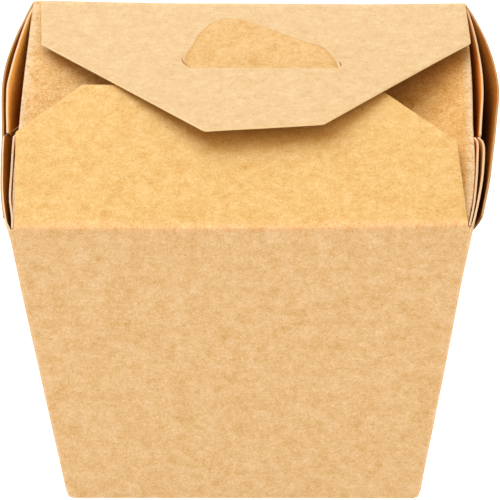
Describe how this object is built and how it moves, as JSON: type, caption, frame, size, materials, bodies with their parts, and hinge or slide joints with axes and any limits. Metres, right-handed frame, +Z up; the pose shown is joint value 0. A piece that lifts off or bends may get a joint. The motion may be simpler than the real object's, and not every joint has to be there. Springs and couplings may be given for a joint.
{
  "type": "noodle takeaway box",
  "caption": "Shut fold-top takeaway box of plain brown kraft board, tapered to its base, with folded corner webs and a tongue that locks the flaps.",
  "frame": {"origin": "middle of the base, on the surface that the box stands on", "axes": "+Z up, -Y to the front panel whose flap carries the tongue, +X to the right as seen from the front"},
  "size_m": [0.1091, 0.082, 0.0912],
  "materials": {
    "kraft_board": "uncoated matt brown kraft board with fine fibres"
  },
  "bodies": {
    "root": {"carton": "kraft_board"}
  },
  "joints": []
}
